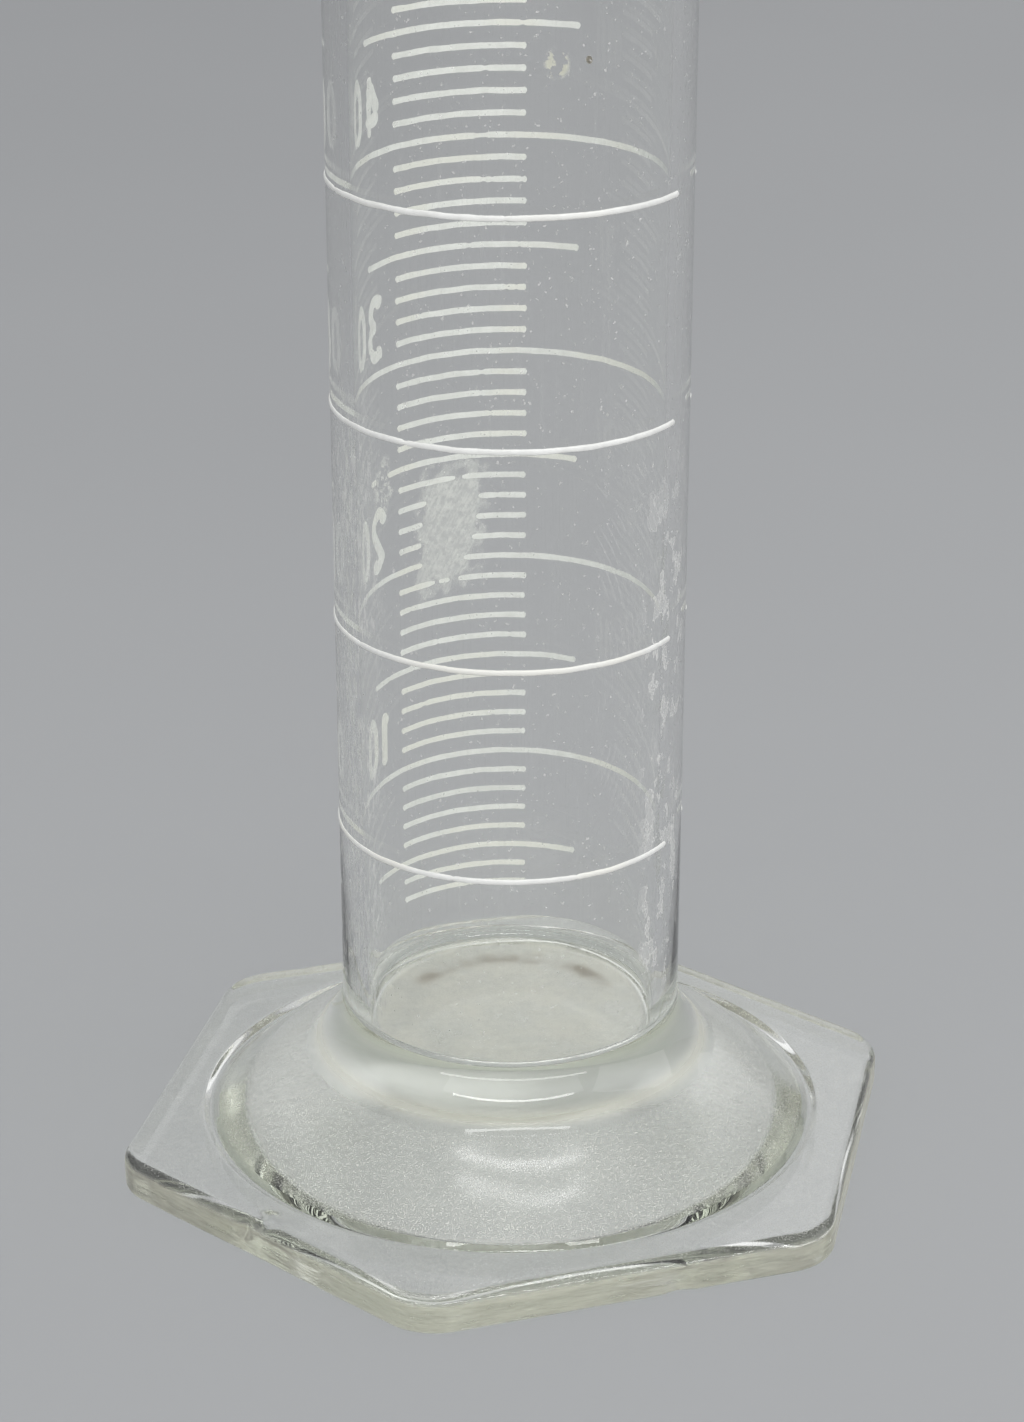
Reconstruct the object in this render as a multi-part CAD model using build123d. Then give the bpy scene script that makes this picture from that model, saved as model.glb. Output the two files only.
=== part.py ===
"""Graduated cylinder, 100 ml: a glass tube with a beaded rim and a pouring spout, fused into the
cup of a pressed hexagonal glass foot, with a fired enamel scale on the outside of the tube.

Millimetres, +Z up. The origin is on the table under the middle of the foot. The scale faces -Y
and the spout points to -X, on the left of whoever reads the scale.
"""
from build123d import *
import os
from math import atan2, ceil, cos, degrees, pi, radians, sin, sqrt

os.makedirs("parts", exist_ok=True)

# Tube
tube_outer_diameter = 30.0
tube_wall = 2.0
tube_seat_height = 10.5
tube_bottom_thickness = 2.4
bore_corner_radius = 1.5
bore_corner_runs = 3

# Rim and spout
rim_above_top_mark = 44.0
bead_radius = 1.8
bead_sides = 12
bead_outset = 0.6
spout_reach = 5.2
spout_length = 17.0
spout_root_radius = 2.6
spout_root_sink = 0.6
spout_lip_radius = 6.0
spout_flank_radius = 4.0
spout_flare = 1.5
spout_stages = 4
spout_bearing = -90.0

# Foot: a hexagonal plate, a round dome on it and a collar that holds the tube
hexagon_across_flats = 63.5
plate_thickness = 3.5
plate_corner_radius = 5.5
plate_top_edge_radius = 1.2
plate_bottom_edge_cut = 0.4
dome_diameter = 53.0
dome_crown_diameter = 36.8
dome_crown_height = 9.4
dome_bulge = 0.35
dome_runs = 3
collar_height = 15.0
collar_hollow = 0.75
collar_runs = 3
groove_width = 1.4
groove_depth = 0.5
recess_diameter = 43.0
recess_crown_diameter = 17.0
recess_depth = 3.8

# Scale
capacity_ml = 100
first_mark_ml = 3
ml_volume = 1000.0
line_width = 0.55
enamel_thickness = 0.12
enamel_run_limit = 4.7
one_ml_length = 14.0
five_ml_length = 24.4
ring_gap_length = 7.4
scale_bearing = 2.8
ring_gap_bearing = -121.5

# Worked out from the sizes above
tube_radius = tube_outer_diameter / 2
bore_radius = tube_radius - tube_wall
bore_floor = tube_seat_height + tube_bottom_thickness
tube_corner_cut = (bore_corner_radius + tube_wall) * (2 - sqrt(2))
bore_area = pi * bore_radius**2


def corner_volume():
    """The volume that the rounded corner of the bore takes away from a flat-bottomed bore."""
    flat_radius = bore_radius - bore_corner_radius
    corner = bore_corner_radius
    rounded = flat_radius**2 * corner + flat_radius * pi * corner**2 / 2 + corner**3 * 2 / 3
    return pi * (bore_radius**2 * corner - rounded)


def mark_height(millilitres):
    """Where the tube holds this volume, as a height above the table."""
    return bore_floor + (millilitres * ml_volume + corner_volume()) / bore_area


rim_height = mark_height(capacity_ml) + rim_above_top_mark
bead_height = rim_height - bead_radius


def turned(*points):
    """A solid of revolution about the tube's axis, from the corners of half its section."""
    return revolve(Plane.XZ * make_face(Polyline(*points, close=True)), Axis.Z)


def run_points(arc, runs):
    """Points along an arc that is drawn as a few straight runs, so that its facets stay few."""
    return [arc @ (run / runs) for run in range(runs + 1)]


def tube_outside():
    """The tube's outside. Its bottom edge, hidden in the foot, is cut to follow the bore's corner."""
    bottom = (tube_radius - tube_corner_cut, tube_seat_height)
    side = (tube_radius, tube_seat_height + tube_corner_cut)
    return turned((0, tube_seat_height), bottom, side, (tube_radius, bead_height), (0, bead_height))


def bore():
    """The tube's inside, with a rounded bottom corner."""
    middle = (bore_radius - bore_corner_radius, bore_floor + bore_corner_radius)
    corner = run_points(CenterArc(middle, bore_corner_radius, -90, 90), bore_corner_runs)
    return turned((0, bore_floor), *corner, (bore_radius, rim_height), (0, rim_height))


def spout_cone(inset):
    """The spout's shell: round sections that grow and lean out of the tube wall, towards -Y."""
    sections = []
    for stage in range(spout_stages + 1):
        part_way = stage / spout_stages
        radius = spout_root_radius + (spout_lip_radius - spout_root_radius) * part_way
        front = tube_radius - spout_root_sink + (spout_reach + spout_root_sink) * part_way**spout_flare
        height = bead_height - spout_length * (1 - part_way)
        level = Plane(origin=(0, radius - front, height))
        sections.append(Wire.make_circle(radius - inset, level))
    return Solid.make_loft(sections)


def rim_bead():
    """Fire-rounded bead that follows the rim out and round the lip of the spout, towards -Y."""
    rim_line = (tube_radius + bore_radius) / 2 + bead_outset
    lip_line = spout_lip_radius + rim_line - tube_radius
    lip_distance = tube_radius + spout_reach - spout_lip_radius
    to_rim = rim_line + spout_flank_radius
    to_lip = lip_line + spout_flank_radius
    flank_y = (to_rim**2 - to_lip**2 + lip_distance**2) / (2 * lip_distance)
    flank_x = sqrt(to_rim**2 - flank_y**2)
    rim_end = degrees(atan2(flank_x, flank_y))
    lip_end = degrees(atan2(flank_x, flank_y - lip_distance))
    flank_turn = lip_end - rim_end
    lines = [
        CenterArc((0, 0), rim_line, rim_end - 90, 360 - 2 * rim_end),
        CenterArc((0, -lip_distance), lip_line, -90 - lip_end, 2 * lip_end),
        CenterArc((flank_x, -flank_y), spout_flank_radius, 90 + rim_end, flank_turn),
        CenterArc((-flank_x, -flank_y), spout_flank_radius, 90 - lip_end, flank_turn),
    ]
    bead = Part()
    for line in lines:
        start = Plane(origin=line @ 0, x_dir=(0, 0, 1), z_dir=line % 0)
        bead += sweep(start * RegularPolygon(bead_radius, bead_sides), path=line)
    return Pos(0, 0, bead_height) * bead


def glass_tube():
    """Straight tube with a closed round-cornered bottom, a spout pulled from its wall and a bead."""
    towards_spout = Rot(0, 0, spout_bearing)
    tube = tube_outside() + towards_spout * spout_cone(0)
    tube = tube - bore() - towards_spout * spout_cone(tube_wall)
    return tube + towards_spout * rim_bead()


def hexagonal_plate():
    """Plate with rounded corners, a round along its top edge and a small cut underneath."""
    outline = RegularPolygon(hexagon_across_flats / 2, 6, major_radius=False, rotation=0)
    outline = fillet(outline.vertices(), plate_corner_radius)
    plate = extrude(outline, plate_thickness)
    plate = fillet(plate.edges().group_by(Axis.Z)[-1], plate_top_edge_radius)
    return chamfer(plate.edges().group_by(Axis.Z)[0], plate_bottom_edge_cut)


def dome_and_collar():
    """Round body on the plate: a slightly bulged dome, then a hollow flare up to the tube."""
    base = (dome_diameter / 2, plate_thickness)
    crown = (dome_crown_diameter / 2, dome_crown_height)
    lip = (tube_radius, collar_height)
    dome = run_points(SagittaArc(base, crown, -dome_bulge), dome_runs)
    collar = run_points(SagittaArc(crown, lip, collar_hollow), collar_runs)
    sunk = (dome_diameter / 2, plate_thickness / 2)
    return turned((0, plate_thickness / 2), sunk, *dome, *collar[1:], (0, collar_height))


def groove():
    """Ring of V section, cut into the top of the plate round the foot of the dome."""
    inner = dome_diameter / 2
    bottom = (inner + groove_width / 2, plate_thickness - groove_depth)
    return turned((inner, plate_thickness), bottom, (inner + groove_width, plate_thickness))


def recess():
    """Shallow hollow under the foot, so that it stands on its outer part."""
    crown = (recess_crown_diameter / 2, recess_depth)
    return turned((0, 0), (recess_diameter / 2, 0), crown, (0, recess_depth))


def glass_foot():
    """Pressed foot: plate, dome and collar in one, with a cup that the bottom of the tube fills."""
    return hexagonal_plate() + dome_and_collar() - groove() - recess() - tube_outside()


def enamel_line(height, middle_bearing, length):
    """A strip of enamel round part of the tube, in short straight runs that each touch its wall.

    Bearings turn from -Y towards +X.
    """
    runs = ceil(length / enamel_run_limit)
    turn = length / tube_radius
    inner = tube_radius / cos(turn / runs / 2)
    outer = inner + enamel_thickness
    first = radians(middle_bearing - 90) - turn / 2
    angles = [first + turn * run / runs for run in range(runs + 1)]
    near = [(inner * cos(angle), inner * sin(angle)) for angle in angles]
    far = [(outer * cos(angle), outer * sin(angle)) for angle in reversed(angles)]
    outline = make_face(Polyline(*near, *far, close=True))
    return Pos(0, 0, height - line_width / 2) * extrude(outline, line_width)


def enamel_marks(volumes, middle_bearing, length):
    """One enamel line for each volume, as separate solids."""
    return Compound([enamel_line(mark_height(volume), middle_bearing, length) for volume in volumes])


ten_ml = range(10, capacity_ml + 1, 10)
five_ml = range(5, capacity_ml + 1, 10)
one_ml = [volume for volume in range(first_mark_ml, capacity_ml + 1) if volume % 5]
ring_length = 2 * pi * tube_radius - ring_gap_length

nodes = {
    "glass_tube": glass_tube(),
    "glass_foot": glass_foot(),
    "ten_ml_rings": enamel_marks(ten_ml, ring_gap_bearing + 180, ring_length),
    "five_ml_marks": enamel_marks(five_ml, scale_bearing, five_ml_length),
    "one_ml_marks": enamel_marks(one_ml, scale_bearing, one_ml_length),
}

for name, shape in nodes.items():
    export_step(shape, f"parts/{name}.step")
print(f"rim {rim_height:.2f}, 10 ml ring {mark_height(10):.2f}, ml spacing {ml_volume / bore_area:.3f}")
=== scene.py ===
"""Looks of the graduated cylinder: one fused glass body, the fired enamel scale, floor, lamps, camera.

Sizes are millimetres and are turned into metres where meshes, lamps and the camera are made. Bearings
are degrees round the tube, from -Y, where the scale is read, towards +X.
"""
from math import acos, atan, ceil, cos, hypot, pi, radians, sin, sqrt, tan

import bpy
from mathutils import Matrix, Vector, noise


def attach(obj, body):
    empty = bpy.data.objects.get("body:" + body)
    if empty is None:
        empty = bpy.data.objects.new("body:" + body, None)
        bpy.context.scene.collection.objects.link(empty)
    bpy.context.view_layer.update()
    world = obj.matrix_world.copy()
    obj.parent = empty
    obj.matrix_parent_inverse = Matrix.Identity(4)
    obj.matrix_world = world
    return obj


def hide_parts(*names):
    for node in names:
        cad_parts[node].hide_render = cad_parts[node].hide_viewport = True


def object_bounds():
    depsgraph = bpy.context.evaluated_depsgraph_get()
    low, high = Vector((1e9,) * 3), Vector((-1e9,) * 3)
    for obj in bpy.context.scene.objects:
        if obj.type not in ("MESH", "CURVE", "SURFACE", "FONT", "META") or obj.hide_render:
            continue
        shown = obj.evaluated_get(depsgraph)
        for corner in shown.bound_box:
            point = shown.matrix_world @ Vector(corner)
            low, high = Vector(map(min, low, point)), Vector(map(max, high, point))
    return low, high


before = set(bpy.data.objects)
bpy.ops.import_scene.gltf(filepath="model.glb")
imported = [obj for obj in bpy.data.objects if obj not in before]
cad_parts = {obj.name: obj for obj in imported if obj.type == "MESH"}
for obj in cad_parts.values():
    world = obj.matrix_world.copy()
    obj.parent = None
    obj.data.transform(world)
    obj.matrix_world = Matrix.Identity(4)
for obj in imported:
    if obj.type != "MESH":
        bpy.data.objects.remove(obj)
cad_low, cad_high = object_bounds()

MM = 0.001

# Tube
TUBE_RADIUS = 15.0
WALL = 2.0
BORE_RADIUS = TUBE_RADIUS - WALL
BORE_FLOOR = 12.9
BORE_CORNER = 1.5

# Rim and spout
RIM_HEIGHT = cad_high.z / MM
BEAD_RADIUS = 1.75
BEAD_OUTSET = 0.6
SPOUT_LENGTH = 17.0
SPOUT_REACH = 5.1
SPOUT_ROOT_RADIUS = 2.6
SPOUT_LIP_RADIUS = 6.0
SPOUT_BEARING = -90.0

# Foot
FOOT_APOTHEM = 31.7
PLATE_CORNER = 5.5
PLATE_HEIGHT = 3.5
PLATE_ROUND = 1.2
DOME_RADIUS = 26.5
CROWN_RADIUS = 18.4
CROWN_HEIGHT = 9.4
COLLAR_HEIGHT = 15.0
GROOVE_OUTER = 27.9
RECESS_RADIUS = 21.5
RECESS_CROWN = 8.5
RECESS_DEPTH = 3.8

# The foot's soft forms: bow of the dome and of the collar, and the groove's lowest place
DOME_BULGE = 0.35
COLLAR_HOLLOW = 0.75
GROOVE_MIDDLE = 27.2
GROOVE_DEPTH = 0.5

# Scale
ML_RISE = 1000.0 / (pi * BORE_RADIUS**2)
LINE_WIDTH = 0.52
ENAMEL_PROUD = 0.10
ENAMEL_SUNK = 0.03
ONE_ML_ARC = (-24.0, 29.6)
FIVE_ML_ARC = (-43.8, 49.4)
RING_ARC = (-107.4, 224.3)
NUMBER_START = 36.4
NUMBER_HEIGHT = 6.0
NUMBER_LIFT = 1.0
STROKE_WIDTH = 1.08

# Wear: bearing, mark in ml, half width in degrees, half height, lean in degrees per mm, bare share
SCUFFS = [(6.5, 21.5, 14.5, 6.2, 0.55, 0.74), (40.5, 24.6, 7.5, 2.6, 0.0, 0.6)]
# Deposits lie in soft bands: where they begin, are full, begin to fade and end
FLECK_BEARINGS = (72.0, 84.0, 108.0, 120.0)
FLECK_HEIGHTS = (15.0, 18.0, 62.0, 82.0)
BLOTCH_BEARINGS = (-154.0, -146.0, -128.0, -118.0)
BLOTCH_HEIGHTS = (16.0, 20.0, 56.0, 72.0)
# Fine nested scratches: their bands, their common centre round the tube and up it, and their spacing
SCRATCH_BEARINGS = (-174.0, -166.0, -142.0, -132.0)
SCRATCH_HEIGHTS = (30.0, 38.0, 68.0, 76.0)
SCRATCH_CENTRE = (-66.0, 49.0)
SCRATCH_SPACING = 0.62
# Marks of dirt: bearing, height, size
RUST_SPOT = (-47.5, 95.0, 0.45)
SMEAR_SPOT = (-35.0, 94.4, 1.5)
# Colours of what has dried on the glass; the cream is also painted light on the foot's edge and the collar's
# ledge
PALE_DUST = (0.82, 0.82, 0.79, 1.0)
CREAM_DUST_AND_PAINTED_LIGHT = (0.78, 0.76, 0.64, 1.0)
GREY_FILM = (0.60, 0.59, 0.52, 1.0)
BROWN_DIRT = (0.24, 0.21, 0.17, 1.0)
# Chips on the foot's edge: bearing, reach, height, size, depth
CHIPS = [
    (118.8, 30.4, 3.5, 1.5, 0.55),
    (116.2, 31.6, 2.4, 0.9, 0.35),
    (-96.5, 35.4, 3.2, 1.0, 0.4),
    (-171.5, 31.6, 0.5, 1.6, 0.4),
    (20.0, 33.6, 3.4, 0.9, 0.3),
    (-38.0, 34.3, 3.4, 1.1, 0.4),
]


def bore_corner_volume():
    """Volume lost to the rounded corner at the bottom of the bore."""
    flat = BORE_RADIUS - BORE_CORNER
    rounded = flat**2 * BORE_CORNER + flat * pi * BORE_CORNER**2 / 2 + BORE_CORNER**3 * 2 / 3
    return pi * (BORE_RADIUS**2 * BORE_CORNER - rounded)


def mark_height(millilitres):
    """Height at which the tube holds this volume."""
    return BORE_FLOOR + millilitres * ML_RISE + bore_corner_volume() / (pi * BORE_RADIUS**2)


def clamp(value, low=0.0, high=1.0):
    return max(low, min(high, value))


# Shader helpers


class Wire:
    """One output of a node. Sums on it add Math nodes."""

    def __init__(self, recipe, socket):
        self.recipe = recipe
        self.socket = socket

    def maths(self, operation, first, second=0.0):
        return self.recipe.node("Math", {"operation": operation}, {0: first, 1: second})

    def __add__(self, other):
        return self.maths("ADD", self, other)

    __radd__ = __add__

    def __mul__(self, other):
        return self.maths("MULTIPLY", self, other)

    __rmul__ = __mul__

    def __sub__(self, other):
        return self.maths("SUBTRACT", self, other)

    def __rsub__(self, other):
        return self.maths("SUBTRACT", other, self)

    def __pow__(self, other):
        return self.maths("POWER", self, other)


class Recipe:
    """Builds the node tree of one material or of the world."""

    def __init__(self, owner):
        owner.use_nodes = True
        self.tree = owner.node_tree
        self.tree.nodes.clear()

    def node(self, kind, settings=None, sockets=None, output=0):
        """Adds a node: its type, its settings, then the values or links of its sockets."""
        node = self.tree.nodes.new("ShaderNode" + kind)
        for name, value in (settings or {}).items():
            setattr(node, name, value)
        for key, value in (sockets or {}).items():
            if isinstance(value, Wire):
                self.tree.links.new(value.socket, node.inputs[key])
            else:
                node.inputs[key].default_value = value
        return Wire(self, node.outputs[output]) if node.outputs else None

    def blend(self, amount, first, second):
        """Mixes two colours."""
        return self.node("Mix", {"data_type": "RGBA"}, {0: amount, 6: first, 7: second}, 2)

    def ease(self, value, low, high):
        """A soft step from 0 at low to 1 at high."""
        sockets = {"Value": value, "From Min": low, "From Max": high}
        return self.node("MapRange", {"interpolation_type": "SMOOTHSTEP"}, sockets)

    def band(self, value, low, full, still_full, high):
        """1 between full and still_full, falling softly to 0 at low and at high."""
        return self.ease(value, low, full) * (1.0 - self.ease(value, still_full, high))

    def bump(self, height):
        """A normal from a height in millimetres."""
        return self.node("Bump", None, {"Height": height, "Strength": 1.0, "Distance": MM})

    def stretch(self, place, scale):
        return self.node("VectorMath", {"operation": "MULTIPLY"}, {0: place, 1: scale})

    def speckle(self, place, scale, detail=3.0, rough=0.55):
        sockets = {"Vector": place, "Scale": scale, "Detail": detail, "Roughness": rough}
        return self.node("TexNoise", None, sockets, "Fac")

    def finish(self, surface, volume=None, kind="Material"):
        sockets = {"Surface": surface}
        if volume:
            sockets["Volume"] = volume
        self.node("Output" + kind, None, sockets)


class Spot:
    """Where a point of the glass lies: its place in millimetres, height, reach from the axis, bearing."""

    def __init__(self, r):
        metres = r.node("TexCoord", None, None, "Object")
        self.place = r.stretch(metres, (1 / MM, 1 / MM, 1 / MM))
        x, y, self.height = (r.node("SeparateXYZ", None, {0: self.place}, axis) for axis in "XYZ")
        self.reach = (x * x + y * y) ** 0.5
        self.bearing = r.node("Math", {"operation": "ARCTAN2"}, {0: x, 1: 0.0 - y}) * (180 / pi)
        self.round = self.bearing * radians(TUBE_RADIUS)
        self.on_tube = r.ease(self.height, COLLAR_HEIGHT + 0.4, COLLAR_HEIGHT + 2)
        self.outside = r.ease(self.reach, TUBE_RADIUS - 1.1, TUBE_RADIUS - 0.9) * self.on_tube


def scuff(r, spot, ragged, bearing, millilitres, wide, high, lean):
    """A rubbed patch on the tube's outside: 1 inside, with an uneven soft edge."""
    rise = spot.height - mark_height(millilitres)
    across = (spot.bearing - bearing + rise * lean) * (1 / wide)
    up = rise * (1 / high)
    squarish = (across * across * across * across + up * up * up * up) ** 0.25
    return (1.0 - r.ease(squarish + (ragged - 0.5) * 1.5, 0.72, 1.05)) * spot.outside


def tube_deposits(r, spot):
    """How much of the tube dried flecks, blotches, dust and fine scratches cover."""
    clouds = r.speckle(spot.place, 0.13, 2.0)
    flow = r.stretch(spot.place, (1.0, 1.0, 0.2))
    hairs = r.stretch(spot.place, (1.0, 1.0, 0.02))

    left = r.band(spot.bearing, *FLECK_BEARINGS) * r.band(spot.height, *FLECK_HEIGHTS)
    flecks = left * r.ease(r.speckle(flow, 2.6, 4.0, 0.7), 0.5, 0.6) * r.ease(clouds, 0.25, 0.5)

    right = r.band(spot.bearing, *BLOTCH_BEARINGS) * r.band(spot.height, *BLOTCH_HEIGHTS)
    pools = r.speckle(r.stretch(spot.place, (1.0, 1.0, 0.55)), 0.55, 4.0, 0.62)
    pool = r.ease(pools, 0.545, 0.56)
    blotches = right * pool * (1.0 - r.ease(pools, 0.565, 0.6) * 0.55)
    streaks = right * r.ease(r.speckle(flow, 1.7, 3.0, 0.65), 0.56, 0.66)

    dust = r.ease(r.speckle(spot.place, 2.4, 1.0, 0.5), 0.735, 0.77)
    motes = r.ease(r.speckle(spot.place, 0.8, 3.0, 0.6), 0.70, 0.76)
    drawn = r.ease(r.speckle(hairs, 2.6, 3.0, 0.6), 0.56, 0.75)

    aside, up = SCRATCH_CENTRE
    swept = r.node("CombineXYZ", None, {"X": spot.round - aside, "Y": spot.height - up})
    far = r.node("VectorMath", {"operation": "LENGTH"}, {0: swept}, "Value")
    ripple = r.node("Math", {"operation": "SINE"}, {0: far * (2 * pi / SCRATCH_SPACING)})
    there = r.band(spot.bearing, *SCRATCH_BEARINGS) * r.band(spot.height, *SCRATCH_HEIGHTS)
    scratched = r.ease(ripple, 0.72, 1.0) * there * r.ease(r.speckle(spot.place, 0.35, 2.0), 0.42, 0.6)

    fine = dust * 0.5 + motes * 0.3 + drawn * 0.05 + scratched * 0.16 * spot.outside
    return (flecks * 0.6 + blotches * 0.6 + streaks * 0.15) * spot.outside + fine * spot.on_tube


def scuff_veil(r, spot):
    """The matt veil of the two rubbed patches, streaked by the scratches that made it."""
    ragged = r.speckle(spot.place, 0.75, 4.0, 0.62)
    along = spot.height * 0.82 - spot.round * 0.57
    aside = spot.round * 0.82 + spot.height * 0.57
    strokes = r.speckle(r.node("CombineXYZ", None, {"X": along * 0.3, "Y": aside * 2.4}), 1.0, 4.0, 0.65)
    large, small = (scuff(r, spot, ragged, *place[:5]) for place in SCUFFS)
    crumpled = r.speckle(spot.place, 1.5, 4.0, 0.68)
    mottled = r.ease(crumpled * 0.6 + strokes * 0.4, 0.4, 0.62)
    return large * (0.34 + mottled * 0.4) + small * r.ease(crumpled, 0.47, 0.57) * 0.7


def spot_of_dirt(r, spot, bearing, height, size):
    across = (spot.bearing - bearing) * radians(TUBE_RADIUS)
    up = spot.height - height
    return (1.0 - r.ease((across * across + up * up) ** 0.5, size * 0.6, size)) * spot.outside


def clear_glass():
    """Old clear glass: fire polished tube, speckled pressed foot, scuffs, dried deposits, and painted light on
    the foot's edge and ledge.
    """
    material = bpy.data.materials.new("clear_glass")
    r = Recipe(material)
    spot = Spot(r)
    place, reach, height = spot.place, spot.reach, spot.height

    grain = r.speckle(place, 8.5, 2.0, 0.5)
    clouds = r.speckle(place, 0.17, 3.0, 0.6)
    on_dome = r.band(reach, 17.6, 19.0, 26.1, 26.7) * r.band(height, 3.4, 3.6, 9.5, 9.9)
    on_plate = r.ease(reach, 26.9, 27.8) * r.ease(height, PLATE_HEIGHT - 0.8, PLATE_HEIGHT - 0.2)
    # Painted light: the pale cream laid on the foot's edge stands in for light scattered in the thick glass.
    # Its streaks follow the mould's own striae, which also roughen and bump the edge.
    on_edge = r.ease(reach, 28.0, 28.5) * r.band(height, 0.1, 0.3, PLATE_HEIGHT - 1, PLATE_HEIGHT - 0.4)
    underneath = (1.0 - r.ease(reach, RECESS_RADIUS, RECESS_RADIUS + 0.4)) * (1.0 - r.ease(height, 3.85, 4.0))
    bore_floor = (1.0 - r.ease(reach, 11.9, 12.7)) * r.band(height, 12.5, 12.7, 13.2, 13.8)
    # Painted reflection: a cream band on the flat ring at the foot of the collar stands in for the overhead
    # light that ring mirrors.
    ledge_painted_reflection = r.band(reach, 15.7, 16.3, 17.4, 18.3) * r.band(height, 9.0, 9.3, 10.4, 11.4)
    in_groove = r.band(reach, 26.2, 26.6, 27.4, 28.2) * r.band(height, 2.8, 2.95, 3.6, 3.8)
    on_collar = r.band(reach, 14.8, 15.2, 17.4, 18.0) * r.band(height, 9.6, 10.4, 14.6, 15.2)

    striae = r.speckle(r.stretch(place, (0.12, 0.12, 1.0)), 2.2, 3.0, 0.6)
    frost = on_dome * (0.45 + clouds) + on_plate * (0.15 + clouds)
    speckled = r.ease(grain, 0.5, 0.68)
    crescent = r.band(reach, 7.4, 9.0, 9.6, 10.8) * r.ease(place_along(r, place), 1.0, 6.0) * bore_floor
    crescent = crescent * r.ease(clouds + grain * 0.2, 0.4, 0.75)
    film = bore_floor * (0.34 + r.ease(clouds + grain * 0.3, 0.45, 0.85) * 0.4)
    # The foot's cover: frost, groove speckle and collar haze are the glass's own; the share of the ledge and
    # of the edge is painted light.
    foot = frost * (0.06 + speckled * 0.5) + ledge_painted_reflection * 0.3 + in_groove * speckled * 0.2
    foot = foot + on_collar * clouds * 0.05 + on_edge * (0.14 + striae * 0.5)
    rust = spot_of_dirt(r, spot, *RUST_SPOT)
    smear = spot_of_dirt(r, spot, *SMEAR_SPOT) * r.ease(r.speckle(place, 1.2, 2.0), 0.5, 0.56)
    cover = foot + film + underneath * 0.08 + tube_deposits(r, spot) + scuff_veil(r, spot)
    cover = cover + rust + smear * 0.8 + crescent * 0.3

    # Cream: dust in the groove, on the frost and in the smear, and painted light on the ledge and the foot's
    # edge.
    warm = ledge_painted_reflection + on_edge + in_groove * r.ease(clouds, 0.4, 0.6) + frost * 0.3 + smear
    tone = r.blend(warm, PALE_DUST, CREAM_DUST_AND_PAINTED_LIGHT)
    tone = r.blend(bore_floor, tone, GREY_FILM)
    tone = r.blend(rust + crescent * 0.8, tone, BROWN_DIRT)

    relief = frost * grain * 0.0025 + on_edge * striae * 0.05 + underneath * clouds * 0.1
    rough = 0.005 + frost * 0.13 + underneath * 0.3 + bore_floor * 0.2 + on_edge * 0.06 + on_collar * 0.03
    normal = r.bump(relief)
    glass = r.node(
        "BsdfPrincipled",
        None,
        {
            "Base Color": (1.0, 1.0, 1.0, 1.0),
            "Roughness": rough + scuff_veil(r, spot) * 0.3,
            "IOR": 1.47,
            "Transmission Weight": 1.0,
            "Normal": normal,
        },
    )
    # The matt layer: dried deposits, and the cream painted light of the ledge and the foot's edge.
    deposits_and_painted_light = r.node("BsdfPrincipled", None, {"Base Color": tone, "Roughness": 0.85, "Normal": normal})
    worn_with_painted_light = r.node("MixShader", None, {0: cover, 1: glass, 2: deposits_and_painted_light})

    clear = r.node("BsdfTransparent", None, {"Color": (0.98, 0.985, 0.98, 1.0)})
    from_lamp = r.node("LightPath", None, None, "Is Shadow Ray")
    bounced = r.node("LightPath", None, None, "Is Diffuse Ray")
    passing = r.node("MixShader", None, {0: bounced, 1: worn_with_painted_light, 2: clear})
    tint = r.node("VolumeAbsorption", None, {"Color": (0.86, 0.91, 0.76, 1.0), "Density": 16.0})
    r.finish(r.node("MixShader", None, {0: from_lamp, 1: passing, 2: clear}), tint)
    return material


def place_along(r, place):
    """How far a point lies from the axis towards the scale's side, where the bore's film has dried."""
    towards = (sin(radians(-18)), -cos(radians(-18)), 0.0)
    return r.node("VectorMath", {"operation": "DOT_PRODUCT"}, {0: place, 1: towards}, "Value")


def fired_enamel():
    """White fired enamel: satin, a little uneven, cream in places."""
    material = bpy.data.materials.new("fired_enamel")
    r = Recipe(material)
    place = r.stretch(r.node("TexCoord", None, None, "Object"), (1 / MM, 1 / MM, 1 / MM))
    patches = r.speckle(place, 0.7, 3.0, 0.6)
    fine = r.speckle(place, 5.0, 2.0, 0.5)
    cream = r.ease(r.speckle(place, 0.09, 1.0), 0.5, 0.62)
    colour = r.blend(r.ease(patches, 0.35, 0.65), (0.86, 0.86, 0.83, 1.0), (0.93, 0.93, 0.90, 1.0))
    colour = r.blend(cream, colour, (0.91, 0.90, 0.84, 1.0))
    sockets = {"Base Color": colour, "Roughness": 0.38 + fine * 0.2, "Normal": r.bump(fine * 0.006)}
    r.finish(r.node("BsdfPrincipled", None, sockets))
    return material


def pale_floor():
    material = bpy.data.materials.new("pale_floor")
    r = Recipe(material)
    place = r.node("TexCoord", None, None, "Object")
    tone = r.speckle(place, 6.0, 2.0, 0.5)
    colour = r.blend(tone, (0.38, 0.385, 0.39, 1.0), (0.42, 0.425, 0.43, 1.0))
    r.finish(r.node("BsdfPrincipled", None, {"Base Color": colour, "Roughness": 0.8}))
    return material


# Meshes


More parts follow.
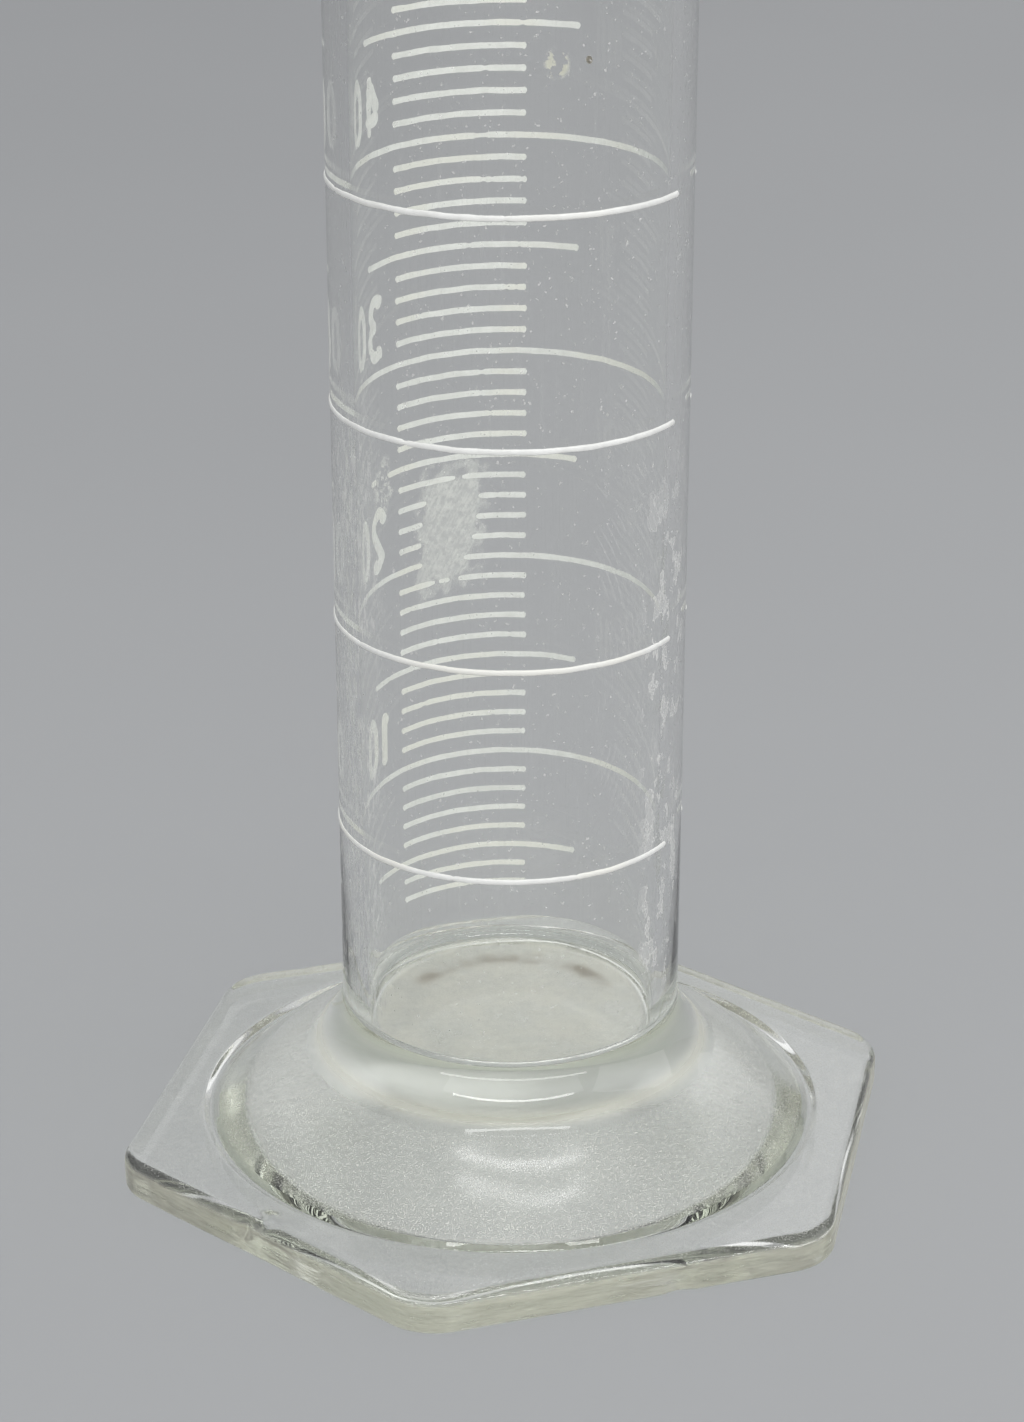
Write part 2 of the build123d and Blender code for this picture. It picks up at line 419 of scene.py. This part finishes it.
def add_piece(name, points, faces, material, slot, *nodes):
    """Makes a smooth mesh object from millimetre points, dresses it and lets it ride on the body.

    The backs of the enamel, which lie just inside the glass, stay flat.
    """
    mesh = bpy.data.meshes.new(name)
    mesh.from_pydata([Vector(point) * MM for point in points], [], faces)
    mesh.validate()
    behind = TUBE_RADIUS * MM if slot == "scale_enamel" else 0
    for face in mesh.polygons:
        face.use_smooth = any(mesh.vertices[v].co.to_2d().length > behind for v in face.vertices)
    mesh.materials.append(material)
    piece = bpy.data.objects.new(name, mesh)
    bpy.context.collection.objects.link(piece)
    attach(piece, "root")
    if nodes:
        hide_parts(*nodes)
    return piece


def softened(corners, steps=6):
    """A line through (across, up, radius) corners, each corner with a radius turned into an arc."""
    line = []
    for before, corner, after in zip(corners, corners[1:], corners[2:]):
        point = Vector(corner[:2])
        inward = (point - Vector(before[:2])).normalized()
        onward = (Vector(after[:2]) - point).normalized()
        turn = acos(clamp(inward.dot(onward), -1, 1))
        if corner[2] == 0 or turn < 0.02:
            line.append(tuple(point))
            continue
        start = point - inward * corner[2] * tan(turn / 2)
        side = (onward - inward * cos(turn)) / sin(turn)
        for step in range(steps + 1):
            part = turn * step / steps
            line.append(tuple(start + corner[2] * (sin(part) * inward + (1 - cos(part)) * side)))
    return [corners[0][:2], *line, corners[-1][:2]]


def spaced(line, gap):
    """The same line with points added so that none are further apart than the gap."""
    points = [line[0]]
    for start, end in zip(line, line[1:]):
        pieces = max(1, ceil(hypot(end[0] - start[0], end[1] - start[1]) / gap))
        for step in range(1, pieces + 1):
            t = step / pieces
            points.append((start[0] + (end[0] - start[0]) * t, start[1] + (end[1] - start[1]) * t))
    return points


def bowed(start, end, bow, radius_start, radius_end, steps=14):
    """Corners along a shallow arc between two points. A positive bow swells to the right of its way."""
    across = end[0] - start[0]
    up = end[1] - start[1]
    length = hypot(across, up)
    corners = []
    for step in range(steps + 1):
        t = step / steps
        swell = bow * 4 * t * (1 - t)
        radius = radius_start if step == 0 else radius_end if step == steps else 0
        corners.append((start[0] + across * t + up / length * swell,
                        start[1] + up * t - across / length * swell, radius))
    return corners


def hexagon_reach(bearing, inset):
    """Distance from the axis to the foot's rounded outline, moved in by the inset."""
    apothem = FOOT_APOTHEM - inset
    radius = max(PLATE_CORNER - inset, 0.5)
    off = radians(abs((bearing + 30) % 60 - 30))
    if apothem * tan(off) <= (apothem - radius) * tan(pi / 6):
        return apothem / cos(off)
    middle = (apothem - radius) / cos(pi / 6)
    aside = pi / 6 - off
    return middle * cos(aside) + sqrt(radius**2 - (middle * sin(aside)) ** 2)


def foot_reach(across, bearing):
    """Stretches the round profile to the hexagon outside the groove."""
    if across <= GROOVE_OUTER:
        return across
    inset = FOOT_APOTHEM - across
    rim_zone = 1.6
    if inset <= rim_zone:
        return hexagon_reach(bearing, inset)
    t = (across - GROOVE_OUTER) / (FOOT_APOTHEM - rim_zone - GROOVE_OUTER)
    return GROOVE_OUTER + (hexagon_reach(bearing, rim_zone) - GROOVE_OUTER) * t


def on_ring(reach, bearing, height):
    return Vector((reach * sin(radians(bearing)), -reach * cos(radians(bearing)), height))


def pressed_skin(across, up, bearing):
    """A point of the foot's surface, a little wavy from its mould and chipped along its edge."""
    reach = foot_reach(across, bearing)
    spot = on_ring(reach, bearing, up)
    below_tube = clamp((COLLAR_HEIGHT - 1 - up) / 3)
    share = below_tube * clamp((across - RECESS_RADIUS - 1) / 2 + clamp((up - 4) / 2))
    wave = 0.5 + 0.5 * noise.noise(spot * 0.16) + 0.25 * noise.noise(spot * 0.45)
    reach -= 0.07 * share * clamp(wave)
    up -= 0.05 * share * clamp(wave) * clamp(up / 2)
    for chip_bearing, chip_reach, chip_height, size, depth in CHIPS:
        gap = spot - on_ring(chip_reach, chip_bearing, chip_height)
        near = 1 - (gap.length / size) ** 2
        if near > 0:
            dent = depth * near * (0.8 + 0.5 * noise.noise(spot * 2.2))
            reach -= dent
            up -= dent * 0.6 if up > 1 else 0
    return reach, max(up, 0)


def spout_reach(bearing, height, wall):
    """Distance from the axis to the tube's wall, drawn out into the spout near the rim."""
    radius = TUBE_RADIUS - wall
    t = clamp(1 - (RIM_HEIGHT - BEAD_RADIUS - height) / SPOUT_LENGTH)
    if t <= 0:
        return radius
    lip = SPOUT_ROOT_RADIUS + (SPOUT_LIP_RADIUS - SPOUT_ROOT_RADIUS) * t
    centre = TUBE_RADIUS - 0.6 + (SPOUT_REACH + 0.6) * t**1.5 - lip
    off = radians((bearing - SPOUT_BEARING + 180) % 360 - 180)
    inside = (lip - wall) ** 2 - (centre * sin(off)) ** 2
    if abs(off) > pi / 2 or inside <= 0:
        return radius
    reach = centre * cos(off) + sqrt(inside)
    ease = 1.6
    share = clamp(0.5 + (reach - radius) / (2 * ease))
    return radius + (reach - radius) * share + ease * share * (1 - share) * 0.9 * t


def foot_profile():
    """Half section of the foot's skin, from the middle of the recess up to the tube."""
    crown = (CROWN_RADIUS, CROWN_HEIGHT)
    dome = bowed((DOME_RADIUS, PLATE_HEIGHT), crown, DOME_BULGE, 0.15, 0.9)
    collar = bowed(crown, (TUBE_RADIUS, COLLAR_HEIGHT), -COLLAR_HOLLOW, 0.9, 1.2)
    under = [(0, RECESS_DEPTH, 0), (RECESS_CROWN, RECESS_DEPTH, 6.0), (RECESS_RADIUS, 0, 1.2)]
    edge = [(FOOT_APOTHEM, 0, 0.45), (FOOT_APOTHEM, PLATE_HEIGHT, PLATE_ROUND)]
    groove = [(GROOVE_OUTER, PLATE_HEIGHT, 0.4), (GROOVE_MIDDLE, PLATE_HEIGHT - GROOVE_DEPTH, 0.35)]
    skin = [*edge, *groove, *dome, *collar[1:], (TUBE_RADIUS, COLLAR_HEIGHT + 3, 0)]
    below = softened([*under, skin[0]])[:-1]
    above = softened([under[-1], *skin])[1:]
    return spaced(below, 1.4) + spaced([below[-1], *above], 0.48)[1:]


def levels(low, high, count):
    """Heights from just above low up to high."""
    return [low + (high - low) * step / count for step in range(1, count + 1)]


def glass_body():
    """The whole glass as one closed skin: a grid of columns round it and rows along its section."""
    columns = 420
    bearings = [360 * column / columns for column in range(columns)]
    rows = []
    for across, up in foot_profile()[1:]:
        rows.append([pressed_skin(across, up, bearing) for bearing in bearings])

    wall_top = RIM_HEIGHT - 2 * BEAD_RADIUS
    spout_start = RIM_HEIGHT - BEAD_RADIUS - SPOUT_LENGTH
    drawn = levels(spout_start, wall_top, 20)
    for up in levels(COLLAR_HEIGHT + 3, spout_start, 12) + drawn:
        rows.append([(spout_reach(bearing, up, 0), up) for bearing in bearings])
    rows += bead_rows(bearings)
    for up in reversed(drawn[:-1]):
        rows.append([(spout_reach(bearing, up, WALL), up) for bearing in bearings])
    inside_low = BORE_FLOOR + BORE_CORNER
    for up in reversed(levels(inside_low, spout_start, 12)):
        rows.append([(BORE_RADIUS, up)] * columns)
    bottom = [(BORE_RADIUS, inside_low + 1, 0), (BORE_RADIUS, BORE_FLOOR, BORE_CORNER), (0, BORE_FLOOR, 0)]
    for across, up in spaced(softened(bottom, 10), 1.3)[1:-1]:
        rows.append([(across, up)] * columns)

    points = [(0, 0, RECESS_DEPTH)]
    for row in rows:
        for bearing, (across, up) in zip(bearings, row):
            points.append(tuple(on_ring(across, bearing, up)))
    points.append((0, 0, BORE_FLOOR))
    faces = []
    last = len(rows) - 1
    for column in range(columns):
        beside = (column + 1) % columns
        faces.append((0, 1 + beside, 1 + column))
        for row in range(last):
            low = 1 + row * columns
            high = low + columns
            faces.append((low + column, low + beside, high + beside, high + column))
        end = 1 + last * columns
        faces.append((end + column, end + beside, len(points) - 1))
    return add_piece("glass_body", points, faces, clear_glass(), "clear_glass", "glass_tube", "glass_foot")


def bead_rows(bearings):
    """Rows round the fire-rounded bead, set square to the wall's line as it runs round the spout."""
    level = RIM_HEIGHT - BEAD_RADIUS
    line = []
    for bearing in bearings:
        outer = spout_reach(bearing, level, 0)
        inner = spout_reach(bearing, level, WALL)
        line.append(on_ring((outer + inner) / 2 + BEAD_OUTSET, bearing, level).to_2d())
    count = len(line)
    rows = []
    steps = 24
    first, last = radians(-76), radians(206)
    for step in range(steps + 1):
        angle = first + (last - first) * step / steps
        row = []
        for here in range(count):
            along = (line[(here + 1) % count] - line[here - 1]).normalized()
            out = Vector((along.y, -along.x))
            place = line[here] + out * BEAD_RADIUS * cos(angle)
            bearing = radians(bearings[here])
            reach = place.x * sin(bearing) - place.y * cos(bearing)
            row.append((reach, level + BEAD_RADIUS * sin(angle)))
        rows.append(row)
    return rows


def enamel_left(bearing, height):
    """How far outside the rubbed patches a point of the scale lies. Below 0 the enamel is gone."""
    left = 1.0
    rough = 0.22 * noise.noise(Vector((bearing * 0.16, height * 0.7, 4.0)))
    for middle, millilitres, wide, high, lean, bare in SCUFFS:
        rise = height - mark_height(millilitres)
        far = hypot((bearing - middle + rise * lean) / wide, rise / high)
        left = min(left, far + rough - bare)
    return left


def ribbon(points, faces, line, half_width, blob=1.0):
    """A raised band of enamel along a line of (round the tube, up) points, with rounded ends."""
    stations = []
    count = len(line)
    for index, (u, v, *wide) in enumerate(line):
        back = line[max(index - 1, 0)]
        ahead = line[min(index + 1, count - 1)]
        along = Vector((ahead[0] - back[0], ahead[1] - back[1])).normalized()
        uneven = 1 + 0.10 * noise.noise(Vector((u * 0.9, v * 0.9, 1.7)))
        half = half_width * (wide[0] if wide else 1) * uneven
        nick = noise.noise(Vector((u * 1.3, v * 2.1, 8.3)))
        stations.append((Vector((u, v)), along, half * (0.72 if nick > 0.58 else 1)))
    length = sum((b[0] - a[0]).length for a, b in zip(stations, stations[1:]))
    start, start_along, start_half = stations[0]
    end, end_along, end_half = stations[-1]
    caps = [(1.0, 0.12), (0.86, 0.55), (0.55, 0.87), (0.2, 1.0)]
    head = [(start + start_along * start_half * (1 - back), start_along, start_half * wide * blob)
            for back, wide in caps]
    tail = [(end - end_along * end_half * (1 - back), end_along, end_half * wide * blob)
            for back, wide in reversed(caps)]
    body = []
    gone = 0.0
    for before, here in zip(stations, stations[1:]):
        gone += (here[0] - before[0]).length
        if start_half < gone < length - end_half:
            body.append(here)
    section = [(-1.0, 0.0), (-0.86, 0.62), (-0.5, 1.0), (0.5, 1.0), (0.86, 0.62), (1.0, 0.0)]
    first = len(points)
    run = head + body + tail
    for place, along, half in run:
        side = Vector((-along.y, along.x))
        for across, lift in section:
            u, v = place + side * half * across
            reach = TUBE_RADIUS - ENAMEL_SUNK + lift * (ENAMEL_PROUD + ENAMEL_SUNK)
            angle = u / TUBE_RADIUS
            points.append((reach * sin(angle), -reach * cos(angle), v))
    sides = len(section)
    for row in range(len(run) - 1):
        low = first + row * sides
        for k in range(sides):
            beside = (k + 1) % sides
            faces.append((low + k, low + beside, low + sides + beside, low + sides + k))
    faces.append(tuple(first + k for k in reversed(range(sides))))
    end = first + (len(run) - 1) * sides
    faces.append(tuple(end + k for k in range(sides)))


def enamel_line(points, faces, height, arc, seed):
    """One line of the scale, thinned and broken where the tube is rubbed."""
    count = ceil((arc[1] - arc[0]) / 0.9)
    low = arc[0] + 0.5 * noise.noise(Vector((seed * 3.1, 0.5, 0.0)))
    high = arc[1] + 0.5 * noise.noise(Vector((seed * 2.3, 7.5, 0.0)))
    run = []
    for index in range(count + 1):
        bearing = low + (high - low) * index / count
        sway = 0.05 * noise.noise(Vector((bearing * 0.12, seed * 7.7, 0.0)))
        sway += 0.02 * noise.noise(Vector((bearing * 0.7, seed * 5.3, 2.0)))
        left = enamel_left(bearing, height)
        if left > 0:
            run.append((radians(bearing) * TUBE_RADIUS, height + sway, clamp(0.55 + left * 3, 0.55)))
        if (left <= 0 or index == count) and run:
            if len(run) > 2:
                ribbon(points, faces, run, LINE_WIDTH / 2, 1.12)
            run = []


def curve_through(knots, steps=6):
    """A smooth line through the knots of a pen stroke."""
    line = []
    ends = [knots[0], *knots, knots[-1]]
    for a, b, c, d in zip(ends, ends[1:], ends[2:], ends[3:]):
        for step in range(steps):
            t = step / steps
            point = []
            for p, q, s, w in zip(a, b, c, d):
                point.append(0.5 * (2 * q + (s - p) * t + (2 * p - 5 * q + 4 * s - w) * t**2
                                    + (3 * q - p - 3 * s + w) * t**3))
            line.append(tuple(point))
    return [*line, knots[-1]]


# Pen strokes of the digits: across and up on a square of side 1, and the pen's share of its width
STROKES = {
    "0": [[(0.5, 0.0, 1), (0.12, 0.2, 1), (0.06, 0.5, 1), (0.12, 0.8, 1), (0.5, 1.0, 1), (0.88, 0.8, 1),
           (0.94, 0.5, 1), (0.88, 0.2, 1), (0.5, 0.0, 1)]],
    "1": [[(0.2, 0.76, 1.2), (0.42, 0.86, 1), (0.62, 1.0, 1)],
          [(0.62, 1.0, 1.1), (0.62, 0.5, 1.1), (0.62, 0.0, 1.1)]],
    "2": [[(0.14, 0.76, 1.3), (0.2, 0.92, 1), (0.5, 1.0, 1), (0.86, 0.86, 1), (0.86, 0.64, 1), (0.5, 0.36, 1),
           (0.16, 0.08, 1)],
          [(0.16, 0.08, 1), (0.36, 0.12, 1.1), (0.62, 0.02, 1.1), (0.94, 0.1, 1.3)]],
    "3": [[(0.12, 0.86, 1.35), (0.3, 0.98, 1), (0.66, 0.97, 1), (0.84, 0.78, 1), (0.66, 0.58, 1),
           (0.42, 0.54, 1)],
          [(0.42, 0.54, 1), (0.76, 0.5, 1), (0.92, 0.28, 1), (0.68, 0.04, 1), (0.34, 0.02, 1),
           (0.1, 0.14, 1.35)]],
    "4": [[(0.68, 0.0, 0.8), (0.7, 0.3, 0.9), (0.7, 0.65, 1.1), (0.66, 1.0, 0.8)],
          [(0.66, 1.0, 0.8), (0.42, 0.7, 1.1), (0.1, 0.38, 1.2)],
          [(0.1, 0.38, 1.2), (0.3, 0.28, 1.2), (0.6, 0.26, 1), (0.96, 0.27, 0.7)]],
    "5": [[(0.88, 0.98, 1.1), (0.5, 0.98, 1), (0.22, 0.98, 1)],
          [(0.22, 0.98, 1), (0.18, 0.76, 1), (0.16, 0.56, 1)],
          [(0.16, 0.56, 1), (0.5, 0.64, 1), (0.86, 0.48, 1), (0.88, 0.22, 1), (0.6, 0.02, 1), (0.3, 0.02, 1),
           (0.1, 0.14, 1.3)]],
    "6": [[(0.8, 0.94, 1.2), (0.46, 0.88, 1), (0.18, 0.62, 1), (0.1, 0.32, 1), (0.28, 0.05, 1), (0.6, 0.01, 1),
           (0.9, 0.2, 1), (0.84, 0.46, 1), (0.52, 0.58, 1), (0.18, 0.42, 1)]],
    "7": [[(0.08, 0.98, 1.2), (0.5, 0.98, 1), (0.92, 0.98, 1)],
          [(0.92, 0.98, 1), (0.62, 0.56, 1), (0.42, 0.0, 1.1)]],
    "8": [[(0.5, 0.54, 1), (0.18, 0.68, 1), (0.2, 0.9, 1), (0.5, 1.0, 1), (0.8, 0.9, 1), (0.82, 0.68, 1),
           (0.5, 0.54, 1), (0.12, 0.38, 1), (0.12, 0.12, 1), (0.5, 0.0, 1), (0.88, 0.12, 1), (0.88, 0.38, 1),
           (0.5, 0.54, 1)]],
    "9": [[(0.2, 0.06, 1.2), (0.54, 0.12, 1), (0.82, 0.38, 1), (0.9, 0.68, 1), (0.72, 0.95, 1), (0.4, 0.99, 1),
           (0.1, 0.8, 1), (0.16, 0.54, 1), (0.48, 0.42, 1), (0.82, 0.58, 1)]],
}
DIGIT_WIDTHS = {"0": 3.5, "1": 2.6}


def number_piece(millilitres, material):
    """The number that stands over its ring, digit by digit from the reader's left."""
    points, faces = [], []
    left = radians(NUMBER_START) * TUBE_RADIUS
    base = mark_height(millilitres) + NUMBER_LIFT
    pen = STROKE_WIDTH / 2
    for digit in str(millilitres):
        width = DIGIT_WIDTHS.get(digit, 4.0)
        for stroke in STROKES[digit]:
            knots = [(left + pen + a * (width - 2 * pen), base + pen + b * (NUMBER_HEIGHT - 2 * pen), wide)
                     for a, b, wide in stroke]
            ribbon(points, faces, curve_through(knots), pen)
        left += width + 0.3
    return add_piece(f"number_{millilitres}", points, faces, material, "scale_enamel")


def scale():
    """All the enamel: rings, long lines, short lines and numbers."""
    material = fired_enamel()
    groups = [
        ("enamel_rings", "ten_ml_rings", range(10, 101, 10), RING_ARC),
        ("enamel_long_lines", "five_ml_marks", range(5, 101, 10), FIVE_ML_ARC),
        ("enamel_short_lines", "one_ml_marks", [ml for ml in range(3, 101) if ml % 5], ONE_ML_ARC),
    ]
    for name, node, volumes, arc in groups:
        points, faces = [], []
        for volume in volumes:
            enamel_line(points, faces, mark_height(volume), arc, volume)
        add_piece(name, points, faces, material, "scale_enamel", node)
    for volume in range(10, 101, 10):
        number_piece(volume, material)


# Floor, lamps, world, camera

CAMERA_BEARING = 161.96


def floor():
    reach = 12.0
    mesh = bpy.data.meshes.new("floor")
    low = -0.0001
    corners = [(-reach, -reach, low), (reach, -reach, low), (reach, reach, low), (-reach, reach, low)]
    mesh.from_pydata(corners, [], [(0, 1, 2, 3)])
    mesh.materials.append(pale_floor())
    piece = bpy.data.objects.new("floor", mesh)
    bpy.context.collection.objects.link(piece)


def round_table(away, aside, height):
    """A place in metres: away from the foot towards the camera, aside to its right, and its height."""
    out = Vector((sin(radians(CAMERA_BEARING)), -cos(radians(CAMERA_BEARING)), 0))
    right = Vector((-out.y, out.x, 0))
    return out * away + right * aside + Vector((0, 0, height))


def soft_lamp(name, place, aim, width, height, radiance):
    """A rectangular area lamp, level along its width, that faces its aim."""
    lamp = bpy.data.lights.new(name, "AREA")
    lamp.shape = "RECTANGLE"
    lamp.size = width
    lamp.size_y = height
    lamp.energy = radiance * pi * width * height
    rig = bpy.data.objects.new(name, lamp)
    rig.location = place
    rig.rotation_euler = (aim - place).to_track_quat("-Z", "Y").to_euler()
    bpy.context.collection.objects.link(rig)


def bent_tube(name, middle, end, half_length, thickness, radiance, pieces=5):
    """An overhead strip lamp that bends back at its ends, made of short straight lamps."""
    height = 0.85
    aside = 0.042
    dome = 0.022
    for piece in range(pieces):
        share = (piece + 0.5) / pieces * 2 - 1
        place = round_table(dome + middle + (end - middle) * share**2, aside + half_length * share, height)
        slope = (end - middle) * 2 * share / half_length
        lamp = bpy.data.lights.new(f"{name}_{piece}", "AREA")
        lamp.shape = "RECTANGLE"
        lamp.size = 2 * half_length / pieces * hypot(1, slope)
        lamp.size_y = thickness
        lamp.energy = radiance * pi * lamp.size * thickness
        rig = bpy.data.objects.new(lamp.name, lamp)
        rig.location = place
        rig.rotation_euler = (0, 0, radians(CAMERA_BEARING) - atan(slope))
        bpy.context.collection.objects.link(rig)


def lights():
    foot = Vector((0, 0, 0.03))
    soft_lamp("window", round_table(0.87, 0.03, 0.40), foot, 1.6, 0.46, 0.8)
    soft_lamp("right_sheet", round_table(0.10, 0.85, 0.30), foot, 0.9, 0.5, 1.0)
    soft_lamp("window_top", round_table(0.86, 0.03, 0.655), foot, 1.4, 0.05, 11.0)
    soft_lamp("window_sill", round_table(0.86, 0.03, 0.15), foot, 1.8, 0.035, 6.0)
    soft_lamp("rear_sheet", round_table(-0.85, 0.35, 0.50), Vector((0, 0, 0.12)), 0.9, 0.5, 0.5)
    bent_tube("near_tube", 0.240, 0.135, 0.255, 0.040, 8.0)
    bent_tube("far_tube", 0.088, -0.015, 0.233, 0.042, 12.0)
    bent_tube("thin_tube", -0.034, -0.05, 0.20, 0.006, 12.0, 1)
    world = bpy.data.worlds.new("studio")
    bpy.context.scene.world = world
    r = Recipe(world)
    direction = r.node("TexCoord", None, None, "Generated")
    up = r.node("SeparateXYZ", None, {0: direction}, "Z")
    colour = r.blend(r.ease(up, 0.0, 0.7), (0.26, 0.263, 0.27, 1.0), (0.66, 0.67, 0.69, 1.0))
    r.finish(r.node("Background", None, {"Color": colour, "Strength": 0.9}), kind="World")


def camera():
    """The photograph's viewpoint, fitted to the rings, the marks and the foot's outline."""
    long_side, middle_row, focal = 1422, 831.4, 3441.9
    away, aside, height, pitch, yaw = 276.2, 0.33, 154.45, 24.3, 0.10
    data = bpy.data.cameras.new("camera")
    data.sensor_width = 36
    data.lens = 36 * focal / long_side
    data.shift_y = (middle_row - long_side / 2) / long_side
    data.clip_start = 0.01
    rig = bpy.data.objects.new("camera", data)
    rig.location = round_table(away * MM, -aside * MM, height * MM)
    rig.rotation_euler = (radians(90 - pitch), 0, radians(CAMERA_BEARING - yaw))
    bpy.context.collection.objects.link(rig)
    bpy.context.scene.camera = rig


def render_settings():
    scene = bpy.context.scene
    scene.view_settings.view_transform = "Standard"
    scene.cycles.max_bounces = 18
    scene.cycles.transmission_bounces = 18
    scene.cycles.transparent_max_bounces = 18
    scene.cycles.caustics_reflective = False
    scene.cycles.caustics_refractive = False
    scene.cycles.use_denoising = True


glass_body()
scale()
floor()
lights()
camera()
render_settings()
